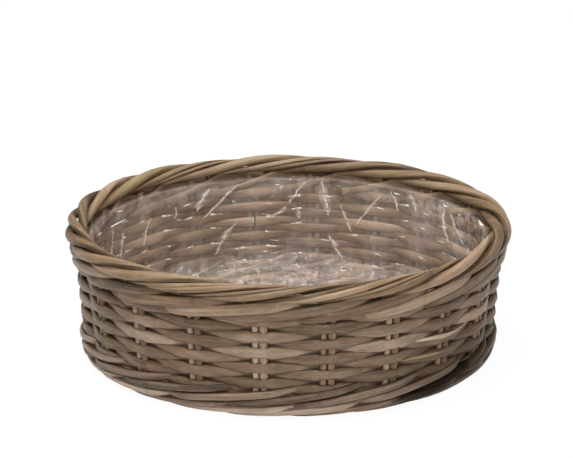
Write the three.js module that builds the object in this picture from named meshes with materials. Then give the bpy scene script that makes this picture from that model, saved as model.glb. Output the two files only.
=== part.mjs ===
// A round, shallow cachepot woven from grey rattan cane, with a clear film liner.
// Millimetres, +Z up, the floor at z = 0 and the basket's axis on Z.
import * as THREE from 'three';

// Driving dimensions
const rimDiameter = 400;
const basketHeight = 125;
const wallLean = 8.2; // how much further out the stakes stand at the rim than at the floor
const pairsPerGroup = 5; // stake pairs that run side by side across the middle of the base
const firstPairDegrees = -7.6; // where the stake pairs stand round the basket

// Canes
const stakeDiameter = 5;
const pairGap = 2.2; // between the two canes of a pair, in the wall
const crossGap = 0.4; // between neighbours where they lie side by side across the base
const stakeSides = 5;
const weaverHeight = 6.1;
const weaverThickness = 4.8;
const rowGap = 0.4; // between a row and the next one up
const weaveClearance = 0.3; // between a weaver and the stakes that it passes
const runMargin = 2; // how far a weaver runs straight on past a pair before it crosses the wall
const buttGap = 1; // between the two ends of a row, which meet behind a pair

// Base
const baseClearance = 2.4; // between the base weave and the floor
const bendRadius = 8; // of the canes from the base up into the wall
const bendSteps = 3;
const crossMargin = 3; // how far the canes run straight on past the crossing
const fanLength = 42; // from there to where the canes of both groups have come to one level
const baseWeaverWidth = 8;
const baseWeaverThickness = 4;
const baseRowPitch = 12;
const footRodHeight = 6.6;
const footRodThickness = 6.6;
const footRodSteps = 40;

// Rolled border
const borderStrand = 5.6; // diameter of the tips of one pair, laid down together
const borderSpread = 1.8; // how much wider the roll is than it is high
const borderOverhang = 2.5; // how far outside the stakes the middle of the roll lies
const borderSides = 6;
const borderTurnDegrees = 292; // that a strand rolls from under the border to its inner side
const pairsPassed = 4; // by a strand on its way
const stepsPerPair = 3;

// Film liner
const filmThickness = 0.8;
const linerGap = 0.5;
const linerCorner = 22; // radius at which the film bridges the angle between wall and floor
const linerCornerSteps = 5;
const linerWallSteps = 5;
const linerFloorSteps = 5;
const linerSegments = 56;
const foldedBelow = 14; // how far down from its edge the film is folded in full
const flatMiddle = 24; // radius that the film lies flat on in the middle of the floor
const flatMargin = 40; // how far out from there the folds reach their full height
const foldHeight = 9; // where the crests of all sets of folds meet
// Crossing sets of sharp folds, each with its count round the basket, its tilt and its share of the height
const folds = [
	{ count: 5, tiltDegrees: 24, share: 0.3 },
	{ count: 8, tiltDegrees: - 32, share: 0.27 },
	{ count: 11, tiltDegrees: 10, share: 0.18 },
	{ count: 4, tiltDegrees: - 72, share: 0.25 },
];

const DEGREE = Math.PI / 180;
const pairs = 4 * pairsPerGroup;
const pairAngle = 2 * Math.PI / pairs;
const stakeRadius = stakeDiameter / 2;
const stakePitch = stakeDiameter + pairGap;
const crossPitch = stakeDiameter + crossGap;
const crossHalfWidth = pairsPerGroup * crossPitch + crossMargin;
const rowPitch = weaverHeight + rowGap;

// The border roll: its strands' centres lie on an oval that keeps each strand off the next
const strandTurn = borderTurnDegrees / pairsPassed * DEGREE;
const neighbourChord = 2 * Math.sin( strandTurn / 2 ) * Math.cos( strandTurn / stepsPerPair / 2 );
const rollHalfHeight = ( borderStrand + weaveClearance ) / neighbourChord;
const rollHalfWidth = rollHalfHeight + borderSpread / 2;
const borderHeight = 2 * rollHalfHeight + borderStrand;
const rollRadius = ( rimDiameter - borderStrand ) / 2 - rollHalfWidth;
const rollLevel = basketHeight - borderHeight / 2;
const stakeTop = basketHeight - borderHeight - weaveClearance;

// The stakes' line, which leans outwards from the top of the bend to the border
const baseLevel = baseClearance + baseWeaverThickness + weaveClearance + stakeRadius; // the canes' centre
const wallFoot = baseLevel + bendRadius;
const stakeLineTop = rollRadius - borderOverhang;
const stakeLineFoot = stakeLineTop - wallLean;
const leanAngle = Math.atan2( wallLean, stakeTop - wallFoot );

// Half the stakes' thickness as a level row meets it, which leans through the row's height
const stakeReach = stakeRadius / Math.cos( leanAngle ) + Math.tan( leanAngle ) * weaverHeight / 2;
const weaveDepth = stakeReach + weaveClearance + weaverThickness; // from the stakes' line to either face

function stakeLineAt( z ) {

	return stakeLineFoot + wallLean * ( z - wallFoot ) / ( stakeTop - wallFoot );

}

const rattan = {
	stake: new THREE.MeshStandardMaterial( { color: 0x8a7864, roughness: 0.7, metalness: 0 } ),
	weaver: new THREE.MeshStandardMaterial( { color: 0x746251, roughness: 0.72, metalness: 0 } ),
	border: new THREE.MeshStandardMaterial( { color: 0x88735d, roughness: 0.66, metalness: 0 } ),
	base: new THREE.MeshStandardMaterial( { color: 0x6c5b4a, roughness: 0.75, metalness: 0 } ),
};
const film = new THREE.MeshStandardMaterial( {
	color: 0xe9e7e3, roughness: 0.12, metalness: 0, transparent: true, opacity: 0.3
} );

// A route through given points, swept with one section at each of them
class Route extends THREE.Curve {

	constructor( points ) {

		super();
		this.points = points;

	}

	getPoint( t, target = new THREE.Vector3() ) {

		const place = t * ( this.points.length - 1 );
		const start = Math.min( Math.floor( place + 1e-9 ), this.points.length - 2 );
		return target.lerpVectors( this.points[ start ], this.points[ start + 1 ], place - start );

	}

	getTangent( t, target = new THREE.Vector3() ) {

		const last = this.points.length - 1;
		const here = Math.round( t * last );
		target.set( 0, 0, 0 );
		const step = new THREE.Vector3();
		for ( const next of [ here, here + 1 ] ) {

			if ( next < 1 || next > last ) continue;
			target.add( step.subVectors( this.points[ next ], this.points[ next - 1 ] ).normalize() );

		}

		return target.normalize();

	}

	getUtoTmapping( u ) {

		return u;

	}

}

// A flattened six-sided cane: its height is along X of the shape and its thickness along Y
function ovalSection( height, thickness ) {

	return new THREE.Shape( [
		new THREE.Vector2( height / 2, thickness / 4 ),
		new THREE.Vector2( 0, thickness / 2 ),
		new THREE.Vector2( - height / 2, thickness / 4 ),
		new THREE.Vector2( - height / 2, - thickness / 4 ),
		new THREE.Vector2( 0, - thickness / 2 ),
		new THREE.Vector2( height / 2, - thickness / 4 ),
	] );

}

function flatSection( height, width ) {

	return new THREE.Shape( [
		new THREE.Vector2( height / 2, - width / 2 ),
		new THREE.Vector2( height / 2, width / 2 ),
		new THREE.Vector2( - height / 2, width / 2 ),
		new THREE.Vector2( - height / 2, - width / 2 ),
	] );

}

function roundSection( diameter, sides ) {

	const corners = [];
	for ( let i = 0; i < sides; i ++ ) {

		const angle = 2 * Math.PI * i / sides;
		corners.push( new THREE.Vector2( diameter / 2 * Math.cos( angle ), diameter / 2 * Math.sin( angle ) ) );

	}

	return new THREE.Shape( corners );

}

function cane( name, material, points, section ) {

	const geometry = new THREE.ExtrudeGeometry( section, {
		steps: points.length - 1, extrudePath: new Route( points ), bevelEnabled: false
	} );
	const mesh = new THREE.Mesh( geometry, material );
	mesh.name = name;
	return mesh;

}

function polar( radius, angle, z ) {

	return new THREE.Vector3( radius * Math.cos( angle ), radius * Math.sin( angle ), z );

}

function numbered( name, index ) {

	return name + '_' + String( index ).padStart( 2, '0' );

}

// Half of a stake cane, from the middle of the base out and up to the rim at +X.
// The other half is its mirror image; lane counts the canes from the middle of their group.
function halfStake( pair, side, level ) {

	const angle = pair * pairAngle;
	const outward = new THREE.Vector3( Math.cos( angle ), Math.sin( angle ), 0 );
	const across = new THREE.Vector3( - Math.sin( angle ), Math.cos( angle ), 0 );
	const lane = 2 * pair + side / 2;
	const place = ( radius, z ) => outward.clone().multiplyScalar( radius )
		.addScaledVector( across, side * stakePitch / 2 ).setZ( z );
	const points = [
		new THREE.Vector3( crossHalfWidth, lane * crossPitch, level ),
		place( crossHalfWidth + fanLength, baseLevel ),
	];
	const bendCentre = stakeLineFoot - bendRadius;
	for ( let i = 0; i <= bendSteps; i ++ ) {

		const turn = ( Math.PI / 2 - leanAngle ) * i / bendSteps;
		const radius = bendCentre + bendRadius * Math.sin( turn );
		points.push( place( radius, baseLevel + bendRadius * ( 1 - Math.cos( turn ) ) ) );

	}

	points.push( place( stakeLineTop, stakeTop ) );
	return points;

}

function stakes() {

	const group = new THREE.Group();
	const section = roundSection( stakeDiameter, stakeSides );
	let count = 0;
	for ( const layer of [ 0, 1 ] ) {

		const turned = new THREE.Group();
		turned.rotation.z = layer * Math.PI / 2;
		const level = baseLevel + ( layer - 0.5 ) * crossPitch;
		for ( let i = 0; i < pairsPerGroup; i ++ ) {

			for ( const side of [ - 1, 1 ] ) {

				const near = halfStake( i - ( pairsPerGroup - 1 ) / 2, side, level );
				const far = near.map( ( point ) => new THREE.Vector3( - point.x, point.y, point.z ) );
				const points = [ ...far.reverse(), ...near ];
				count += 1;
				turned.add( cane( numbered( 'stake_cane', count ), rattan.stake, points, section ) );

			}

		}

		group.add( turned );

	}

	return group;

}

// A row goes round the wall, outside the pairs that isOutside picks and inside the others.
// It starts and ends behind the pair at startPair.
function wovenRow( name, material, z, startPair, isOutside ) {

	const line = stakeLineAt( z );
	const offset = weaveDepth - weaverThickness / 2;
	const halfRun = Math.atan2( stakePitch / 2 + stakeRadius + runMargin, line );
	const butt = Math.atan2( buttGap / 2, line );
	const sideOf = ( pair ) => isOutside( pair ) ? 1 : - 1;
	const radiusAt = ( pair, angle ) => ( line + sideOf( pair ) * offset ) / Math.cos( angle );
	const points = [];
	for ( let i = 0; i <= pairs; i ++ ) {

		const angle = ( startPair + i ) * pairAngle;
		const pair = i % pairs;
		const before = i === 0 ? butt : - halfRun;
		const after = i === pairs ? - butt : halfRun;
		points.push( polar( radiusAt( pair, before ), angle + before, z ) );
		points.push( polar( radiusAt( pair, after ), angle + after, z ) );

	}

	return cane( name, material, points, ovalSection( weaverHeight, weaverThickness ) );

}

// Foot rods lie round the outside of the bend, touching the canes
function footRod( name, level ) {

	const reach = bendRadius + stakeRadius + footRodThickness / 2 + weaveClearance;
	const drop = wallFoot - level;
	const radius = stakeLineFoot - bendRadius + Math.sqrt( Math.max( reach * reach - drop * drop, 0 ) );
	const points = [];
	const butt = buttGap / 2 / radius;
	for ( let i = 0; i <= footRodSteps; i ++ ) {

		const angle = THREE.MathUtils.lerp( butt, 2 * Math.PI - butt, i / footRodSteps );
		points.push( polar( radius / Math.cos( Math.PI / footRodSteps ), angle, level ) );

	}

	return cane( name, rattan.base, points, ovalSection( footRodHeight, footRodThickness ) );

}

function wall() {

	const group = new THREE.Group();
	const everySecond = ( pair ) => pair % 2 === 1;
	const twoOfThree = ( pair ) => pair % 3 !== 0;
	const oddStep = 2 * pairsPerGroup + 1; // each row starts this many pairs further on, so rows alternate
	const footLevel = footRodHeight / 2;
	group.add( footRod( 'foot_rod_lower', footLevel ) );
	group.add( footRod( 'foot_rod_upper', footLevel + footRodHeight + rowGap ) );
	let z = Math.max( footLevel + 2 * ( footRodHeight + rowGap ), wallFoot + rowGap );
	group.add( wovenRow( 'bottom_wale', rattan.base, z, 3, twoOfThree ) );
	z += rowPitch;
	const topWales = 2;
	const topLevel = stakeTop - filmThickness - 2 * weaveClearance - weaverHeight / 2;
	const sideRows = Math.floor( ( topLevel - z ) / rowPitch ) - topWales + 1;
	const spread = ( topLevel - z ) / ( sideRows + topWales - 1 );
	for ( let row = 0; row < sideRows; row ++ ) {

		const level = z + row * spread;
		const name = numbered( 'side_weaver', row + 1 );
		group.add( wovenRow( name, rattan.weaver, level, row * oddStep, everySecond ) );

	}

	for ( let row = 0; row < topWales; row ++ ) {

		const level = z + ( sideRows + row ) * spread;
		group.add( wovenRow( numbered( 'top_wale', row + 1 ), rattan.border, level, 2 * row + 1, twoOfThree ) );

	}

	return { group, topOfWeave: topLevel + weaverHeight / 2 };

}

// Two base weavers chase each other inwards from the wall, over one pair and under the next
function baseWeaver( name, rowsIn ) {

	const lift = stakeRadius + baseWeaverThickness / 2 + weaveClearance;
	const outermost = stakeLineFoot - weaveDepth - weaveClearance - baseWeaverWidth / 2;
	const innermost = crossHalfWidth + fanLength + baseWeaverWidth / 2;
	const inset = 2 * baseRowPitch / pairs;
	const first = outermost - rowsIn * baseRowPitch;
	const points = [];
	for ( let pair = 0; first - pair * inset > innermost; pair ++ ) {

		const radius = first - pair * inset;
		const halfRun = Math.atan2( stakePitch / 2 + stakeRadius + runMargin / 2, radius );
		const z = baseLevel + ( ( pair + rowsIn ) % 2 === 0 ? lift : - lift );
		points.push( polar( radius, pair * pairAngle - halfRun, z ) );
		points.push( polar( radius, pair * pairAngle + halfRun, z ) );

	}

	return cane( name, rattan.base, points, flatSection( baseWeaverThickness, baseWeaverWidth ) );

}

// A border strand starts on top of its pair, rolls out, up and over, and ends on the inside
function borderStrandOf( pair ) {

	const steps = pairsPassed * stepsPerPair;
	const startDegrees = - 90; // straight below the middle of the roll
	const points = [];
	for ( let i = 0; i <= steps; i ++ ) {

		const roll = ( startDegrees + borderTurnDegrees * i / steps ) * DEGREE;
		const angle = ( pair + ( i - 0.5 ) / stepsPerPair ) * pairAngle;
		const radius = rollRadius + rollHalfWidth * Math.cos( roll );
		points.push( polar( radius, angle, rollLevel + rollHalfHeight * Math.sin( roll ) ) );

	}

	const name = numbered( 'border_strand', pair + 1 );
	return cane( name, rattan.border, points, roundSection( borderStrand, borderSides ) );

}

// A station on the smooth film, whose slope is 0 on the wall and a quarter turn on the floor
function station( radius, level, slope, depth ) {

	return { radius, level, slope, depth };

}

// The film's stations from the top of the wall down and in to the middle of the floor
function filmStations( lip, floor, inside ) {

	const bend = floor + linerCorner;
	const foot = stakeLineAt( bend ) - inside;
	const bendDepth = lip - bend;
	const floorDepth = bendDepth + linerCorner * Math.PI / 2;
	const stations = [];
	for ( let i = 0; i < linerWallSteps; i ++ ) {

		const depth = bendDepth * i / linerWallSteps;
		stations.push( station( stakeLineAt( lip - depth ) - inside, lip - depth, 0, depth ) );

	}

	for ( let i = 0; i < linerCornerSteps; i ++ ) {

		const slope = Math.PI / 2 * i / linerCornerSteps;
		const radius = foot - linerCorner * ( 1 - Math.cos( slope ) );
		const level = bend - linerCorner * Math.sin( slope );
		stations.push( station( radius, level, slope, bendDepth + linerCorner * slope ) );

	}

	for ( let i = 0; i <= linerFloorSteps; i ++ ) {

		const radius = ( foot - linerCorner ) * ( 1 - i / linerFloorSteps );
		stations.push( station( radius, floor, Math.PI / 2, floorDepth + foot - linerCorner - radius ) );

	}

	return stations;

}

// How far the film stands off its smooth form, a way round from the front and down from its edge
function foldAt( turn, { radius, slope, depth } ) {

	let height = 0;
	for ( const fold of folds ) {

		const lead = fold.count * Math.tan( fold.tiltDegrees * DEGREE ) / stakeLineFoot;
		const wave = ( fold.count * turn + lead * depth ) / ( 2 * Math.PI );
		height += foldHeight * fold.share * ( 1 - 4 * Math.abs( wave - Math.round( wave ) ) );

	}

	const fromEdge = Math.min( depth / foldedBelow, 1 );
	const fromMiddle = slope < Math.PI / 2 ? 1 : ( radius - flatMiddle ) / flatMargin;
	return Math.max( height, 0 ) * fromEdge * THREE.MathUtils.clamp( fromMiddle, 0, 1 );

}

// The film stands against the inside of the weave, and its lip is caught under the border
function liner( topOfWeave ) {

	const inside = weaveDepth + Math.tan( leanAngle ) * weaverHeight / 2 + linerGap;
	const floor = baseLevel + stakeRadius + baseWeaverThickness + 2 * weaveClearance;
	const lip = topOfWeave + weaveClearance;
	const lipEdge = stakeLineAt( lip ) - stakeReach - linerGap;
	const under = filmStations( lip, floor, inside );
	const over = under.map( ( { radius, level, slope, depth } ) => station(
		Math.max( radius - filmThickness * Math.cos( slope ), 0 ),
		level + filmThickness * Math.sin( slope ),
		slope,
		depth,
	) );
	over[ 0 ].level = lip + filmThickness;
	const outline = [
		...under.reverse(),
		station( lipEdge, lip, 0, 0 ),
		station( lipEdge, lip + filmThickness, 0, 0 ),
		...over,
	];
	const profile = outline.map( ( { radius, level } ) => new THREE.Vector2( radius, level ) );
	const geometry = new THREE.LatheGeometry( profile, linerSegments );
	for ( let i = 0; i < geometry.attributes.position.count; i ++ ) {

		const place = outline[ i % outline.length ];
		const turn = 2 * Math.PI * Math.floor( i / outline.length ) / linerSegments;
		const fold = foldAt( turn, place );
		const radius = place.radius - fold * Math.cos( place.slope );
		const level = place.level + fold * Math.sin( place.slope );
		geometry.attributes.position.setXYZ( i, radius * Math.sin( turn ), level, radius * Math.cos( turn ) );

	}

	const mesh = new THREE.Mesh( geometry, film );
	mesh.rotation.x = Math.PI / 2;
	mesh.name = 'liner';
	return mesh;

}

function cachepot() {

	const group = new THREE.Group();
	group.rotation.z = firstPairDegrees * DEGREE;
	const { group: weave, topOfWeave } = wall();
	group.add( stakes(), weave, baseWeaver( 'base_weaver_a', 0 ), baseWeaver( 'base_weaver_b', 1 ) );
	for ( let pair = 0; pair < pairs; pair ++ ) group.add( borderStrandOf( pair ) );
	group.add( liner( topOfWeave ) );
	return group;

}

export default cachepot();
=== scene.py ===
import math
import random

import bpy
import numpy as np
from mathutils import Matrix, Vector, geometry, noise


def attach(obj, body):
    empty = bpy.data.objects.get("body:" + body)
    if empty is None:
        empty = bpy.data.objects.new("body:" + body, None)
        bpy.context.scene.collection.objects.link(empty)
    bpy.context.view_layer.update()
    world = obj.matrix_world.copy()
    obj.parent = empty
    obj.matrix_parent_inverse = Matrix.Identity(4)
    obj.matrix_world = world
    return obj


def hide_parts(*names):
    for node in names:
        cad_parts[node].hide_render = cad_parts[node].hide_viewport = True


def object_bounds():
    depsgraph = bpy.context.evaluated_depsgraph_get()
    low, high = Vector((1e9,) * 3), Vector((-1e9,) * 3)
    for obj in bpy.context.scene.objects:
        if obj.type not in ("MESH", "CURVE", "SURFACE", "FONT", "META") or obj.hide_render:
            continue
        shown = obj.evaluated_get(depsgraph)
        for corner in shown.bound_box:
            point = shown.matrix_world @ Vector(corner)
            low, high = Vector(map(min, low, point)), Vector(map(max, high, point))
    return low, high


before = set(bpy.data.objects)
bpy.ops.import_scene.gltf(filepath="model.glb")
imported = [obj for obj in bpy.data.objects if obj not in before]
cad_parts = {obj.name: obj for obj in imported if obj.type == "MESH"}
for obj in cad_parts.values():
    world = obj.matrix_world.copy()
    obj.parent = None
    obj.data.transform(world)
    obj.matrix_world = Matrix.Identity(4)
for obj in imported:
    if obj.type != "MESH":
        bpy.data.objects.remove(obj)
cad_box = [list(corner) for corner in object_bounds()]

# Stake canes: twenty grey rattan canes, laid across the base in two crossed groups of five pairs.
# Past the crossing they fan out like spokes, bend up at the edge of the base and stand in the wall
# in pairs, where the weavers grip them. Lengths are in millimetres until a mesh is made.
MM = 0.001
GROUP_PAIRS = 5
PAIRS = 4 * GROUP_PAIRS
PAIR_ANGLE = math.tau / PAIRS
FIRST_PAIR = math.radians(-7.6)
STAKE = 6.7
STAKE_PITCH = 7.1
STAKE_PROUD = 1.0
STAKE_SWAY = 0.3
BUTT_SWELL = 0.12
CROSS_PITCH = 5.4
CROSS_HALF = 30.0
CROSS_STEP = 6
FAN = 42.0
FAN_EASE = FAN * 0.6
FAN_STEPS = 7
SPOKE_STEPS = 12
BEND_STEPS = 8
WALL_STEPS = 40
BASE_LEVEL = 9.2
BEND = 8.0
WALL_FOOT = BASE_LEVEL + BEND
STAKE_TOP = 108.9
LINE_TOP = 188.7
LINE_FOOT = 180.5
SIDES = 12


def stake_line(z):
    """Distance of the stakes' middle from the basket's axis at a height"""
    return LINE_FOOT + (LINE_TOP - LINE_FOOT) * (z - WALL_FOOT) / (STAKE_TOP - WALL_FOOT)


def polar(radius, angle, z):
    """The place at a distance from the basket's axis, an angle round it and a height"""
    return Vector((radius * math.cos(angle), radius * math.sin(angle), z))


def gentle(t):
    """From 0 to 1 with a soft start and a soft stop"""
    t = min(max(t, 0.0), 1.0)
    return t * t * (3 - 2 * t)


def node(tree, kind, values=None, **settings):
    """A node with its settings, whose inputs are given as numbers or as the sockets that feed them"""
    made = tree.nodes.new(kind)
    for name, value in settings.items():
        setattr(made, name, value)
    for name, value in (values or {}).items():
        if isinstance(value, bpy.types.NodeSocket):
            tree.links.new(value, made.inputs[name])
        else:
            made.inputs[name].default_value = value
    return made


def maths(tree, operation, *values, clamp=False):
    """The result of a Math node"""
    made = node(tree, "ShaderNodeMath", dict(enumerate(values)), operation=operation, use_clamp=clamp)
    return made.outputs[0]


def vector_maths(tree, operation, *values):
    """The vector that a Vector Math node gives"""
    return node(tree, "ShaderNodeVectorMath", dict(enumerate(values)), operation=operation).outputs[0]


def scaled(tree, vector, factor):
    """A vector or a colour, times a factor"""
    return node(tree, "ShaderNodeVectorMath", {0: vector, "Scale": factor}, operation="SCALE").outputs[0]


def add_inputs(tree, sockets):
    """Input sockets for a node group, each with its name, kind and value"""
    for name, kind, value in sockets:
        socket = tree.interface.new_socket(name, in_out="INPUT", socket_type="NodeSocket" + kind)
        if value is not None:
            socket.default_value = value


def attribute_input(tree, name, kind="FLOAT"):
    """What is stored on a mesh or curve under a name"""
    made = node(tree, "GeometryNodeInputNamedAttribute", {"Name": name}, data_type=kind)
    return made.outputs["Attribute"]


def stored(tree, mesh, name, value, kind="FLOAT", domain="POINT"):
    """The mesh or curve with a value stored on it under a name"""
    values = {"Geometry": mesh, "Name": name, "Value": value}
    made = node(tree, "GeometryNodeStoreNamedAttribute", values, data_type=kind, domain=domain)
    return made.outputs["Geometry"]


def cane_tree():
    """Geometry nodes that make canes of the routes in a mesh, each with its own girth and lie"""
    tree = bpy.data.node_groups.new("cane_on_route", "GeometryNodeTree")
    add_inputs(tree, [
        ("Geometry", "Geometry", None),
        ("Sides", "Int", SIDES),
        ("Flatness", "Float", 1.0),
        ("Unevenness", "Float", 0.05),
        ("Material", "Material", None),
    ])
    tree.interface.new_socket("Geometry", in_out="OUTPUT", socket_type="NodeSocketGeometry")
    given = node(tree, "NodeGroupInput").outputs
    girth = attribute_input(tree, "girth")
    curve = node(tree, "GeometryNodeMeshToCurve", {"Mesh": given["Geometry"]}).outputs["Curve"]
    values = {"Curve": curve, "Normal": attribute_input(tree, "lie", "FLOAT_VECTOR")}
    curve = node(tree, "GeometryNodeSetCurveNormal", values, mode="FREE").outputs[0]
    curve = stored(tree, curve, "along", node(tree, "GeometryNodeSplineParameter").outputs["Length"])

    # The cane's section: a ring pressed flat, on which the way round is stored
    values = {"Resolution": given["Sides"], "Radius": 1.0}
    ring = node(tree, "GeometryNodeCurvePrimitiveCircle", values).outputs[0]
    turn = maths(tree, "MULTIPLY", node(tree, "GeometryNodeSplineParameter").outputs["Factor"], math.tau)
    ring = stored(tree, ring, "around", turn)
    squeeze = node(tree, "ShaderNodeCombineXYZ", {"X": 1.0, "Y": given["Flatness"], "Z": 1.0}).outputs[0]
    place = vector_maths(tree, "MULTIPLY", node(tree, "GeometryNodeInputPosition").outputs[0], squeeze)
    ring = node(tree, "GeometryNodeSetPosition", {"Geometry": ring, "Position": place}).outputs[0]

    # The grain, from which the shader knows its place in the cane
    values = {"Curve": curve, "Profile Curve": ring, "Scale": girth, "Fill Caps": True}
    mesh = node(tree, "GeometryNodeCurveToMesh", values).outputs[0]
    around = attribute_input(tree, "around")
    parts = {
        "X": maths(tree, "MULTIPLY", girth, maths(tree, "COSINE", around)),
        "Y": maths(tree, "MULTIPLY", girth, maths(tree, "SINE", around)),
        "Z": maths(tree, "ADD", attribute_input(tree, "along"), attribute_input(tree, "strand")),
    }
    grain = node(tree, "ShaderNodeCombineXYZ", parts).outputs[0]
    mesh = stored(tree, mesh, "grain", grain, "FLOAT_VECTOR")

    # Dents and swellings, each about as long as the cane is wide
    stretch = vector_maths(tree, "MULTIPLY", grain, (1.0, 1.0, 0.35))
    dent = node(tree, "ShaderNodeTexNoise", {"Vector": stretch, "Scale": 320.0, "Detail": 2.0}).outputs[0]
    dent = maths(tree, "MULTIPLY", maths(tree, "SUBTRACT", dent, 0.5), given["Unevenness"])
    dent = maths(tree, "MULTIPLY", dent, girth)
    offset = scaled(tree, node(tree, "GeometryNodeInputNormal").outputs[0], dent)
    mesh = node(tree, "GeometryNodeSetPosition", {"Geometry": mesh, "Offset": offset}).outputs[0]

    # The cut ends are the only faces with more than four corners
    corners = node(tree, "GeometryNodeInputMeshFaceNeighbors").outputs["Vertex Count"]
    values = {2: corners, 3: 4}
    is_end = node(tree, "FunctionNodeCompare", values, data_type="INT", operation="GREATER_THAN").outputs[0]
    mesh = stored(tree, mesh, "cut_end", is_end, "BOOLEAN", "FACE")
    whole = node(tree, "FunctionNodeBooleanMath", {0: is_end}, operation="NOT").outputs[0]
    mesh = node(tree, "GeometryNodeSetShadeSmooth", {"Geometry": mesh, "Selection": whole}).outputs[0]
    mesh = node(tree, "GeometryNodeRealizeInstances", {"Geometry": mesh}).outputs[0]
    values = {"Geometry": mesh, "Material": given["Material"]}
    mesh = node(tree, "GeometryNodeSetMaterial", values).outputs[0]
    node(tree, "NodeGroupOutput", {"Geometry": mesh})
    return tree


CANE = cane_tree()


def finished(piece, tree, settings):
    """The piece with its node tree applied, as a plain mesh"""
    modifier = piece.modifiers.new("make", "NODES")
    modifier.node_group = tree
    sockets = {item.name: item.identifier for item in tree.interface.items_tree if item.in_out == "INPUT"}
    for name, value in settings.items():
        modifier[sockets[name]] = value
    graph = bpy.context.evaluated_depsgraph_get()
    mesh = bpy.data.meshes.new_from_object(piece.evaluated_get(graph), depsgraph=graph)
    mesh.name = piece.name
    route = piece.data
    piece.modifiers.clear()
    piece.data = mesh
    bpy.data.meshes.remove(route)
    return piece


def canes(name, strands, material, flatness=1.0, unevenness=0.12, sides=SIDES):
    """One piece of several strands: each a list of (place, girth, lie, tone and painted light), in
    millimetres
    """
    places, girths, lies, tones_and_lights = zip(*[point for strand in strands for point in strand])
    edges = []
    start = 0
    for strand in strands:
        edges += [(start + i, start + i + 1) for i in range(len(strand) - 1)]
        start += len(strand)
    mesh = bpy.data.meshes.new(name + "_route")
    mesh.from_pydata([place * MM for place in places], edges, [])
    seed = random.Random(name)
    shades = []
    for strand in strands:
        shades += [seed.uniform(0, 50)] * len(strand)
    for title, kind, key, values in (
        ("girth", "FLOAT", "value", [girth * MM for girth in girths]),
        ("tone_and_light", "FLOAT", "value", list(tones_and_lights)),
        ("strand", "FLOAT", "value", shades),
        ("lie", "FLOAT_VECTOR", "vector", [x for lie in lies for x in lie]),
    ):
        mesh.attributes.new(title, kind, "POINT").data.foreach_set(key, values)
    piece = bpy.data.objects.new(name, mesh)
    bpy.context.scene.collection.objects.link(piece)
    settings = {"Sides": sides, "Flatness": flatness, "Unevenness": unevenness, "Material": material}
    return finished(piece, CANE, settings)


def remapped(tree, value, start, end, low=0.0, high=1.0, **settings):
    """A value's way from start to end, turned into a way from low to high"""
    values = {"Value": value, "From Min": start, "From Max": end, "To Min": low, "To Max": high}
    return node(tree, "ShaderNodeMapRange", values, **settings).outputs[0]


def blended(tree, factor, first, second, **settings):
    """A colour between two others"""
    values = {"Factor": factor, 6: first, 7: second}
    return node(tree, "ShaderNodeMix", values, data_type="RGBA", **settings).outputs[2]


def weighted(tree, total, terms):
    """A total to which each pattern is added with its own weight"""
    for pattern, weight in terms:
        total = maths(tree, "MULTIPLY_ADD", pattern, weight, total)
    return total


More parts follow.
